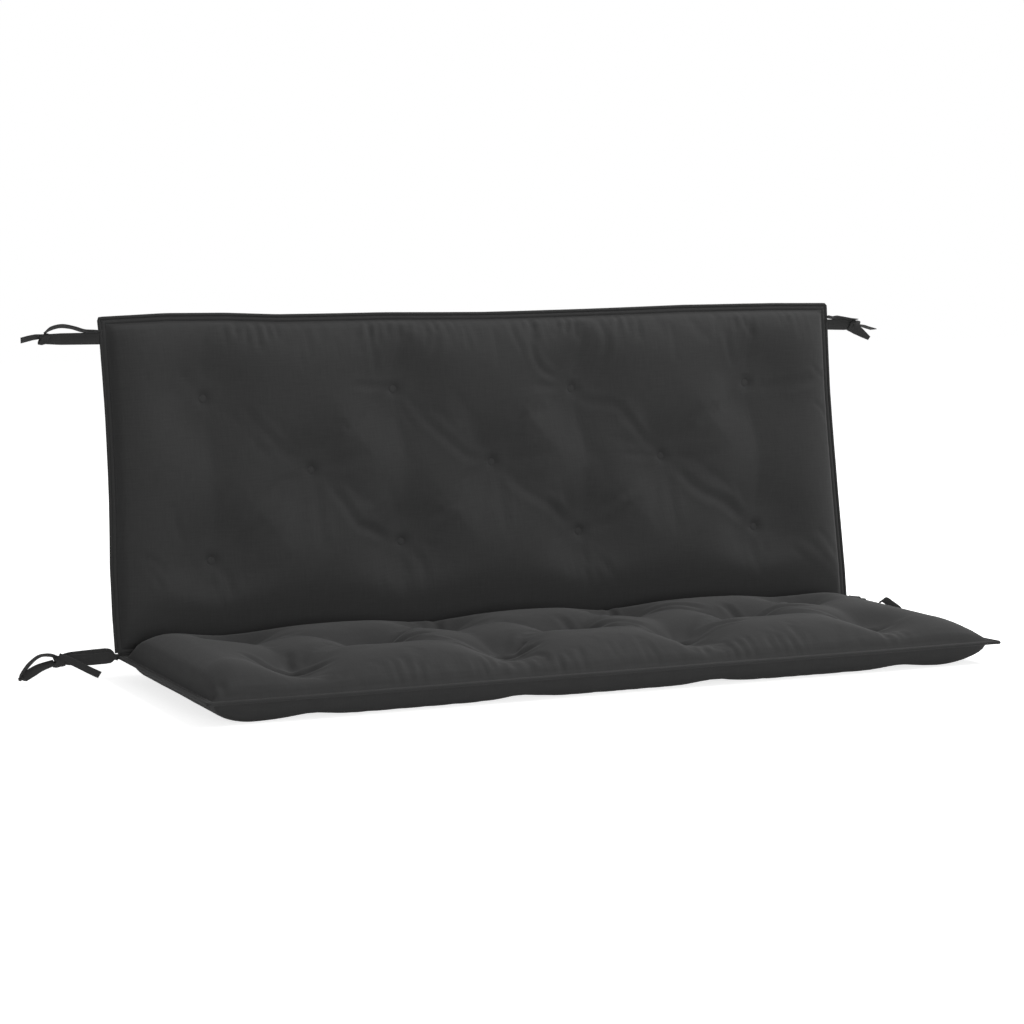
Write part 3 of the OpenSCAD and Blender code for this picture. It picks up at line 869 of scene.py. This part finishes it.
def ribbon(path, across, width, thickness, narrow, curl):
    """A woven tape along a path. across is the direction of its width, narrow its share of the
    width and curl how far its edges bend up, each given at the path's points."""
    centre = smooth_line(path, 6)
    marks = np.linspace(0, 1, len(path))
    every = np.linspace(0, 1, len(centre))
    wide = np.array([across[min(i, len(across) - 1)] for i in range(len(path))], float)
    side = np.stack([np.interp(every, marks, wide[:, k]) for k in range(3)], 1)
    share = np.interp(every, marks, narrow if narrow is not None else np.ones(len(path)))
    bent = np.interp(every, marks, curl if curl is not None else np.zeros(len(path)))
    tangent = np.gradient(centre, axis=0)
    tangent /= np.linalg.norm(tangent, axis=1, keepdims=True)
    side -= (side * tangent).sum(1, keepdims=True) * tangent
    side /= np.linalg.norm(side, axis=1, keepdims=True)
    face = np.cross(tangent, side)
    # Half a section: hem, groove beside the hem, middle
    section = [(-0.5, 0), (-0.49, 0.5), (-0.42, 0.62), (-0.36, 0.42), (-0.2, 0.46), (0, 0.5),
               (0.2, 0.46), (0.36, 0.42), (0.42, 0.62), (0.49, 0.5), (0.5, 0)]
    section += [(w, -h) for w, h in section[-2:0:-1]]
    rows = []
    for w, h in section:
        off = face * (h * thickness + 4 * w * w * bent[:, None])
        rows.append(centre + side * (w * width * share[:, None]) + off)
    rings = np.stack(rows, 1)
    n, m = rings.shape[:2]
    length = np.concatenate([[0], np.cumsum(np.linalg.norm(np.diff(centre, axis=0), axis=1))])
    flat = [(length[i], section[j][0] * width + (0.5 * width if section[j][1] >= 0 else 2 * width))
            for i in range(n) for j in range(m)]
    return rings.reshape(-1, 3), tube_faces(n, m), flat, length[-1]


def joined(parts):
    """Several (points, faces, flat) as one."""
    points, faces, flat, base = [], [], [], 0
    for p, f, u in parts:
        points.append(p)
        faces += [tuple(i + base for i in face) for face in f]
        flat += list(u)
        base += len(p)
    return np.concatenate(points), faces, flat


class Tie:
    """Where a pair of tapes is sewn on, and the tapes' own points in mm with x outwards."""

    def __init__(self, side, at, body):
        self.side, self.at, self.body = side, np.array(at), body

    def place(self, points):
        return np.asarray(points, float) * MM * [self.side, 1, 1] + self.at

    def turn(self, directions):
        return [np.array(d, float) * [self.side, 1, 1] for d in directions]


def upper_tie_place(side):
    flat = BACK.spot(np.array([[side * HALF_W, BACK.length - TIE_DROP]]))[0]
    return [flat[0] + side * TIE_GAP, FOLD_Y + flat[1] * math.sin(LEAN),
            FOLD_Z + flat[1] * math.cos(LEAN)]


def lower_tie_place(side):
    return [side * (HALF_W + TIE_GAP), FOLD_Y, FOLD_Z]


def knot(centre, radius):
    """Two turns of tape round a strap that runs along x. They are drawn together and cross."""
    turns = []
    for lean, size in ((0.5, radius), (-0.5, 1.14 * radius)):
        angles = np.radians(np.linspace(200, 650, 19))
        grow = size * np.linspace(0.85, 1.0, len(angles))
        path = centre + np.stack(
            [lean * size * np.sin(angles), 0.8 * grow * np.cos(angles), grow * np.sin(angles)], 1
        )
        even = np.ones(len(angles))
        turns.append((path, [(1, 0, 0)], 0.6 * even, -1.2 * even))
    return turns


def tape_piece(name, tie, tapes, settings, material, replaced):
    """Tapes of one tie as a piece. Each is (points in mm, across, narrow, curl in mm)."""
    parts, total = [], 0
    for points, across, narrow, curl in tapes:
        p, f, u, length = ribbon(
            tie.place(points), tie.turn(across), settings.tape_width, settings.tape_thickness,
            narrow, None if curl is None else [c * MM * tie.side for c in curl]
        )
        parts.append((p, f, u))
        total += length
    points, faces, flat = joined(parts)
    obj = new_mesh(name, points, faces)
    flat_uv(obj, flat)
    outwards(obj)
    obj.data.materials.append(material)
    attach(obj, tie.body)
    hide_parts(replaced)
    return obj


UP = (0, 0, 1)


def ties(settings, material):
    """The eight pieces of tape: at each corner a knotted strap with its tails, and its partner."""
    sewn = {
        "lower_left": Tie(-1, lower_tie_place(-1), "seat"),
        "lower_right": Tie(1, lower_tie_place(1), "seat"),
        "upper_left": Tie(-1, upper_tie_place(-1), "back"),
        "upper_right": Tie(1, upper_tie_place(1), "back"),
    }
    tapes = {
        "lower_left_tie": [
            ([(-1.6, 0, 1), (4, 0, 2.5), (10, -0.5, 5), (18, -1, 6.2), (47, -2, 5.5), (69, -3, 5),
              (82, -3, 4)],
             [UP], [0.45, 0.35, 0.85, 1, 1, 0.95, 0.75], None),
            *knot((85, -4, 1), 7.5),
            ([(88, -3, 7), (98, -4, 10.5), (108, -5, 11.2), (119, -7, 8), (132, -10, -2),
              (142, -12, -14), (143, -12, -19), (138, -13, -17), (125, -12, -10), (113, -9, -5),
              (92, -5, 0)],
             [(0, 1, -0.4)] * 3 + [(-0.1, 1, -0.6)] + [(-0.2, 1, -0.75)] * 3
             + [(0.3, 0.8, 0.5)] * 4,
             [0.7, 0.9, 1, 1, 1, 0.9, 0.85, 0.95, 1, 0.9, 0.7], None),
            ([(87, -10, 10), (77, -13, 5), (65, -15, -1.5), (50, -18, -10), (38, -20, -16.5),
              (31, -20.5, -20)],
             [(0.35, -0.25, 0.8)], [0.55, 0.65, 0.7, 0.7, 0.7, 0.65], None),
        ],
        "lower_left_tie_loop": [
            ([(-1.6, 1.5, -1), (4, -1.6, 0), (10, -2.4, 0), (18, -3.2, 0.8), (40, -4, 0.6),
              (56, -4.6, 1.5), (70, -5, 2), (79, -5, 2.5)],
             [UP], [0.45, 0.35, 0.85, 1, 1, 1, 0.9, 0.75], None),
        ],
        "lower_right_tie": [
            ([(-1.6, 0, 0), (6, 0.6, 0), (22, 13, -1), (44, 34, -3), (59, 53, -5)],
             [UP], [0.8, 1, 1, 0.95, 0.8], None),
            *knot((60, 54, -5), 6.5),
            ([(63, 54, -9), (84, 57, -13), (98, 59, -10), (106, 60, -4), (120, 61, -12),
              (134, 62, -21), (136, 62, -24), (124, 63, -24), (98, 62, -18), (66, 58, -10)],
             [(-0.1, 1, -0.6)] * 6 + [(0.2, 0.9, 0.2)] + [(0.3, 0.8, 0.5)] * 3,
             [0.7, 0.9, 1, 1, 1, 0.9, 0.85, 0.95, 1, 0.7], None),
            ([(62, 60, -8), (78, 68, -12), (94, 72, -17), (106, 73, -21)],
             [(0, 0.3, 1)], [0.7, 0.8, 0.8, 0.7], None),
        ],
        "lower_right_tie_loop": [
            ([(-1.6, 1.5, 0), (6, 3, 0.5), (19, 17.5, 3), (35, 37, 6), (46, 52, 6), (54, 58, 2)],
             [UP, UP, (-0.3, 0.4, 0.87), (-0.6, 0.75, 0.3), (-0.5, 0.8, 0)], None, None),
        ],
        "upper_left_tie": [
            ([(-4, 0, 0.3), (26, 1, 0.8), (55, 2, 1.0), (75, 3, 1.2)],
             [UP], [0.97, 1, 0.98, 0.85], None),
            *knot((79, 3, 1.5), 7),
            ([(82, 3, 5), (92, 4, 4.5), (102, 5, 2.5), (112, 6, 0)],
             [(0, 1, -0.6)], [0.7, 0.9, 1, 1], None),
            ([(82, 6, 4), (92, 8, 3.5), (101, 9, 2)],
             [(0, 1, -0.4)], [0.6, 0.8, 0.8], None),
        ],
        "upper_left_tie_loop": [
            ([(-3, 0, 9.5), (10, 0, 10.6), (23, 0, 12.3), (38, 0, 17), (55, 0, 19.5), (70, 1, 16),
              (79, 2, 9)],
             [(0, 1, -0.35)] * 2 + [(0, 1, -0.25)] * 2 + [(0, 1, -0.35)] + [(0, 1, -0.45)] * 2,
             None, None),
        ],
        "upper_right_tie": [
            ([(-4, 0, -3.2), (14, 1, -3.7), (32, 2, -4.3), (49, 2, -5)],
             [UP], [0.97, 1, 1, 0.85], None),
            *knot((53, 2, -4.5), 6.5),
            ([(56, 2, -5), (66, 3, -6.5), (76, 4, -9.5), (89, 5, -13)],
             [(0, 1, -0.12)], [0.7, 0.9, 1, 1], None),
            ([(40, 0, -6.5), (54, -1, -13), (65, -2, -20), (76, -3, -27)],
             [(0.5, -0.25, 0.8)], [0.9, 0.95, 0.7, 0.4], None),
        ],
        "upper_right_tie_loop": [
            ([(-3, 0, 10), (5, 0, 8.2), (13, 0, 8), (24, 0, 6.2), (40, 1, 4.4), (53, 2, 3)],
             [(0, 1, -0.18)] * 2 + [(0, 1, -0.35)] * 2 + [(0, 1, -0.2)] * 2, None, None),
        ],
    }
    for node, parts in tapes.items():
        where, height = node.split("_tie")[0], node.split("_")[0]
        tape_piece("tape_" + node, sewn[where], parts, settings, material, node)


# ---- the user's sizes and colours ----

class SwingSeatSizes(bpy.types.PropertyGroup):
    stuffing: FloatProperty(name="Stuffing", description="Share of the crowns' full height",
                            default=1.0)
    pressure: FloatProperty(name="Filling pressure", description="Push of the filling on the cloth",
                            default=3.0)
    fullness: FloatProperty(name="Fullness", description="Spare cloth that gathers at the seams",
                            default=0.02)
    looseness: FloatProperty(
        name="Looseness", description="How far the cloth leaves the regular form", default=0.4)
    cap: FloatProperty(name="Furthest move", description="Cap on a point's move in the simulation",
                       default=30 * MM, unit="LENGTH")
    frames: IntProperty(name="Simulated frames", description="Length of the cloth simulation",
                        default=20)
    cord_radius: FloatProperty(name="Piping radius", description="Radius of the covered cord",
                               default=2.5 * MM, unit="LENGTH")
    stitch_pitch: FloatProperty(name="Stitch pitch", description="From one stitch to the next",
                                default=3.2 * MM, unit="LENGTH")
    button_radius: FloatProperty(name="Button radius", description="Radius of a covered button",
                                 default=6.5 * MM, unit="LENGTH")
    tape_width: FloatProperty(name="Tape width", description="Width of a tie tape",
                              default=17 * MM, unit="LENGTH")
    tape_thickness: FloatProperty(name="Tape thickness", description="Thickness of a tie tape",
                                  default=1.2 * MM, unit="LENGTH")


class SwingSeatCloths(bpy.types.PropertyGroup):
    cover: FloatVectorProperty(name="Cover cloth", description="Colour of the woven cover",
                               subtype="COLOR", default=linear("343434"))
    edge: FloatVectorProperty(name="Piping cloth", description="Colour of the piping's cloth",
                              subtype="COLOR", default=linear("303030"))
    button: FloatVectorProperty(name="Button cloth", description="Colour of the covered buttons",
                                subtype="COLOR", default=linear("343434"))
    tape: FloatVectorProperty(name="Tie tape", description="Colour of the tie tapes",
                              subtype="COLOR", default=linear("343434"))
    thread: FloatVectorProperty(name="Thread", description="Colour of the sewing thread",
                                subtype="COLOR", default=linear("282828"))
    weave: FloatProperty(name="Thread spacing", description="Between two threads of the weave",
                         default=0.9 * MM, unit="LENGTH")


def materials(cloths):
    """The finishes, made once."""
    made = bpy.data.materials
    if "woven_polyester_cover" not in made:
        # Matt filament polyester, plain weave: an even charcoal with a soft sheen on its slopes.
        # Real threads lie 0.4 mm apart; they are drawn coarser, as they would not show at all.
        cloth_material("woven_polyester_cover", cloths.cover, cloths.weave, 0.85, 0.14)
        # The same cloth cut on the bias and drawn tight over cord: a little darker and smoother
        cloth_material("bias_polyester_piping", cloths.edge, cloths.weave, 0.78, 0.1,
                       coordinates="Object", bump=0.15)
        # Pressed over a button mould, so the weave lies tight
        cloth_material("pressed_polyester_button", cloths.button, cloths.weave, 0.75, 0.1,
                       coordinates="Object", bump=0.15)
        # Folded and stitched tape: a dense, dull weave
        cloth_material("folded_polyester_tape", cloths.tape, 0.8 * MM, 0.85, 0.1, bump=0.35)
        # Twisted polyester sewing thread: smoother than the cloth, so it glints a little
        cloth_material("polyester_sewing_thread", cloths.thread, 0.5 * MM, 0.6, 0.05,
                       coordinates="Object", bump=0.1)
    return made


def chosen(context):
    """The sizes and the finishes that an operator works with."""
    return context.scene.swing_seat_sizes, materials(context.scene.swing_seat_cloths)


# ---- operators ----

class SWINGSEAT_OT_stage(bpy.types.Operator):
    """Camera, lamps, backdrop and floor"""

    bl_idname = "swing_seat.stage"
    bl_label = "Set the stage"

    def execute(self, context):
        lens = bpy.data.cameras.new("view")
        lens.lens, lens.sensor_width = 95.94, 36
        camera = add_object("view", lens)
        camera.location = (-1.6269, -3.5845, 0.6464)
        camera.rotation_euler = [math.radians(a) for a in (83.9294, 0.3482, -23.6728)]
        context.scene.camera = camera
        context.scene.view_settings.view_transform = "Standard"
        middle = Vector((0, 0, 0.2))
        for name, place, size, power in (
            ("key", (3.2, -2.4, 5.9), 3.0, 125),
            ("overhead", (2.4, 0.3, 3.4), 2.0, 88),
            ("fill", (-0.6, -6, 0.5), 3.0, 192),
        ):
            lamp = bpy.data.lights.new(name, "AREA")
            lamp.shape, lamp.size, lamp.energy = "DISK", size, power
            obj = add_object(name, lamp)
            obj.location = place
            obj.rotation_euler = (middle - obj.location).to_track_quat("-Z", "Y").to_euler()
        world = bpy.data.worlds.new("studio")
        context.scene.world = world
        tree = blank_tree(world)
        light = add_node(tree, "ShaderNodeBackground", Color=(1, 1, 1, 1), Strength=0.3)
        white = add_node(tree, "ShaderNodeBackground", Color=(1, 1, 1, 1), Strength=1.0)
        both = add_node(tree, "ShaderNodeMixShader", in0=seen_rays(tree), in1=light.outputs[0],
                        in2=white.outputs[0])
        add_node(tree, "ShaderNodeOutputWorld", Surface=both.outputs[0])
        floor = new_mesh("floor", [(-9, -9, 0), (9, -9, 0), (9, 9, 0), (-9, 9, 0)], [(0, 1, 2, 3)])
        # Matt backdrop paper: pale, with a faint grain. Where it is seen it also glows up to white.
        paper = bpy.data.materials.new("white_studio_paper")
        tree = blank_tree(paper)
        where = add_node(tree, "ShaderNodeTexCoord").outputs["Object"]
        grain = add_node(tree, "ShaderNodeTexNoise", Vector=where, Scale=300, Detail=2).outputs[0]
        tone = add_node(tree, "ShaderNodeValToRGB", Fac=grain)
        for element, grey in zip(tone.color_ramp.elements, (0.78, 0.82)):
            element.color = (grey, grey, grey, 1)
        matt = add_node(tree, "ShaderNodeBsdfDiffuse", Color=tone.outputs[0])
        glow = add_node(tree, "ShaderNodeEmission", Color=(1, 1, 1, 1),
                        Strength=maths(tree, "MULTIPLY", seen_rays(tree), 0.77))
        lit = add_node(tree, "ShaderNodeAddShader", in0=matt.outputs[0], in1=glow.outputs[0])
        add_node(tree, "ShaderNodeOutputMaterial", Surface=lit.outputs[0])
        floor.data.materials.append(paper)
        return {"FINISHED"}


class SWINGSEAT_OT_ties(bpy.types.Operator):
    """Eight tapes, knotted in pairs at the corners"""

    bl_idname = "swing_seat.ties"
    bl_label = "Ties"

    def execute(self, context):
        sizes, made = chosen(context)
        ties(sizes, made["folded_polyester_tape"])
        return {"FINISHED"}


class SWINGSEAT_OT_seat_cushion(bpy.types.Operator):
    """The tufted seat cushion, flat where it rests"""

    bl_idname = "swing_seat.seat_cushion"
    bl_label = "Seat cushion"

    def execute(self, context):
        sizes, made = chosen(context)
        obj = make_cushion(SEAT, "seat_cushion", sizes, made["woven_polyester_cover"],
                           SEAT_CREASES + gathers(SEAT_GATHERS, 430), True)
        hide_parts("seat_top_panel", "seat_bottom_panel", "seat_filling", "seat_tuft_twines")
        return {"FINISHED"}


class SWINGSEAT_OT_back_cushion(bpy.types.Operator):
    """The tufted back cushion"""

    bl_idname = "swing_seat.back_cushion"
    bl_label = "Back cushion"

    def execute(self, context):
        sizes, made = chosen(context)
        obj = make_cushion(BACK, "back_cushion", sizes, made["woven_polyester_cover"],
                           BACK_CREASES + gathers(BACK_GATHERS, 485), False)
        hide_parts("back_front_panel", "back_rear_panel", "back_filling", "back_tuft_twines")
        return {"FINISHED"}


class SWINGSEAT_OT_piping(bpy.types.Operator):
    """Covered cord round the sides and the far edge of both cushions"""

    bl_idname = "swing_seat.piping"
    bl_label = "Piping"

    def execute(self, context):
        sizes, made = chosen(context)
        tree = cord_tree()
        for cushion in (SEAT, BACK):
            path = path_mesh(edge_path(cushion, sizes.cord_radius, 1.5 * MM))
            values = {"Radius": sizes.cord_radius, "Cloth": made["bias_polyester_piping"]}
            obj = through_nodes(path, tree, values, cushion.name + "_edge_piping")
            outwards(obj)
            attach(obj, cushion.name)
            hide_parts(cushion.name + "_piping")
        return {"FINISHED"}


class SWINGSEAT_OT_stitching(bpy.types.Operator):
    """Rows of stitches that hold the flange flat, on both faces of both cushions"""

    bl_idname = "swing_seat.stitching"
    bl_label = "Stitching"

    def execute(self, context):
        sizes, made = chosen(context)
        tree = stitch_tree()
        groove, deep = FLANGE_SECTION[5]
        for cushion in (SEAT, BACK):
            for face, side in (("upper", 1), ("lower", -1)):
                height = side * (deep + 0.1) * MM
                path = edge_path(cushion, groove * MM, 0.5 * MM, height, 14 * MM)
                values = {"Pitch": sizes.stitch_pitch, "Thread": made["polyester_sewing_thread"]}
                obj = through_nodes(path_mesh(path), tree, values,
                                    f"{cushion.name}_{face}_stitches")
                outwards(obj)
                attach(obj, cushion.name)
        return {"FINISHED"}


def button_shape(radius):
    """A covered button over its shank: a dome, a rolled rim and the gathered cloth beneath."""
    profile = [(0, 2.1), (0.4, 2.05), (0.7, 1.85), (0.88, 1.45), (0.96, 1.0), (1.0, 0.4),
               (0.97, 0.0), (0.85, -0.4), (0.6, -0.8), (0.4, -1.3), (0.3, -1.8)]
    segments = 28
    points = [(0, 0, profile[0][1] * MM)]
    for share, height in profile[1:]:
        points += [
            (share * radius * math.cos(a), share * radius * math.sin(a), height * MM)
            for a in np.arange(segments) * math.tau / segments
        ]
    faces = [(0, 1 + j, 1 + (j + 1) % segments) for j in range(segments)]
    for r in range(len(profile) - 2):
        a, b = 1 + r * segments, 1 + (r + 1) * segments
        faces += [(a + j, b + j, b + (j + 1) % segments, a + (j + 1) % segments)
                  for j in range(segments)]
    last = 1 + (len(profile) - 2) * segments
    faces.append(tuple(last + j for j in range(segments)))
    return new_mesh("button", points, faces)


class SWINGSEAT_OT_buttons(bpy.types.Operator):
    """Covered buttons on the tufts of all four faces"""

    bl_idname = "swing_seat.buttons"
    bl_label = "Buttons"

    def execute(self, context):
        sizes, made = chosen(context)
        tree = button_tree()
        shape = button_shape(sizes.button_radius)
        nodes = {
            (SEAT, 1): "seat_top_buttons", (SEAT, -1): "seat_bottom_buttons",
            (BACK, 1): "back_front_buttons", (BACK, -1): "back_rear_buttons",
        }
        for (cushion, side), node in nodes.items():
            flat = cushion.spot(cushion.tufts)
            local = np.column_stack([flat, np.full(len(flat), side * TUFT_T)])
            tip = local + [0, 0, side * MM]
            at = placed(local, cushion)
            facing = (placed(tip, cushion) - at) / MM
            points = new_mesh("tufts", at, [])
            attribute = points.data.attributes.new("facing", "FLOAT_VECTOR", "POINT")
            attribute.data.foreach_set("vector", facing.ravel())
            values = {"Button": shape, "Cloth": made["pressed_polyester_button"]}
            obj = through_nodes(points, tree, values, "covered_" + node)
            outwards(obj)
            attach(obj, cushion.name)
            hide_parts(node)
        bpy.data.objects.remove(shape)
        return {"FINISHED"}


def strip_section():
    """Of the cloth strip folded round the cord, in mm: along the back from the fold, and forwards.
    It leaves open the side on which the seat comes in, at every angle of the fold."""
    def arc(radius, first, last, count):
        return [(radius * math.cos(a), radius * math.sin(a))
                for a in np.radians(np.linspace(first, last, count))]

    upper, lower = [(6.4, 1.1), (4.4, 1.0), (3.0, 1.5)], [(4.4, -1.0), (6.4, -1.1)]
    return upper + arc(2.75, 25, -154, 15) + arc(3.4, -154, -22, 11) + lower


class SWINGSEAT_OT_fold(bpy.types.Operator):
    """The covered cord along the fold and the cloth strip folded round it"""

    bl_idname = "swing_seat.fold"
    bl_label = "Fold"

    def execute(self, context):
        sizes, made = chosen(context)
        cloth = made["bias_polyester_piping"]
        end = HALF_W - STRIP_END
        xs = np.linspace(-end, end, 61)
        line = placed(np.column_stack([xs, np.zeros((len(xs), 2))]), SEAT)
        values = {"Radius": sizes.cord_radius, "Cloth": cloth, "Ripple": 0.1 * MM}
        cord = through_nodes(path_mesh(line), cord_tree(), values, "fold_cord")
        outwards(cord)
        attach(cord, "seat")
        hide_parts("hinge_piping")
        section = np.array(strip_section()) * MM
        count = len(section)
        rows = [np.column_stack([np.full(count, x), section]) for x in xs]
        strip = new_mesh("fold_strip", placed(np.concatenate(rows), BACK),
                         tube_faces(len(xs), count))
        outwards(strip)
        strip.data.materials.append(cloth)
        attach(strip, "back")
        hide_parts("hinge_strip")
        return {"FINISHED"}


class SWINGSEAT_PT_panel(bpy.types.Panel):
    """Lists the pieces in the order in which they are made"""

    bl_idname = "SWINGSEAT_PT_panel"
    bl_label = "Swing seat"
    bl_space_type = "VIEW_3D"
    bl_region_type = "UI"
    bl_category = "Swing seat"

    def draw(self, context):
        for operator in OPERATORS:
            self.layout.operator(operator.bl_idname)
        for group in (context.scene.swing_seat_sizes, context.scene.swing_seat_cloths):
            for name in group.__annotations__:
                self.layout.prop(group, name)


OPERATORS = (
    SWINGSEAT_OT_stage,
    SWINGSEAT_OT_ties,
    SWINGSEAT_OT_seat_cushion,
    SWINGSEAT_OT_back_cushion,
    SWINGSEAT_OT_piping,
    SWINGSEAT_OT_stitching,
    SWINGSEAT_OT_buttons,
    SWINGSEAT_OT_fold,
)
CLASSES = (SwingSeatSizes, SwingSeatCloths, *OPERATORS, SWINGSEAT_PT_panel)


def register():
    for item in CLASSES:
        bpy.utils.register_class(item)
    bpy.types.Scene.swing_seat_sizes = PointerProperty(type=SwingSeatSizes)
    bpy.types.Scene.swing_seat_cloths = PointerProperty(type=SwingSeatCloths)


def unregister():
    del bpy.types.Scene.swing_seat_cloths
    del bpy.types.Scene.swing_seat_sizes
    for item in reversed(CLASSES):
        bpy.utils.unregister_class(item)


def main():
    register()
    for operator in OPERATORS:
        group, name = operator.bl_idname.split(".")
        getattr(getattr(bpy.ops, group), name)()


if __name__ == "__main__":
    main()
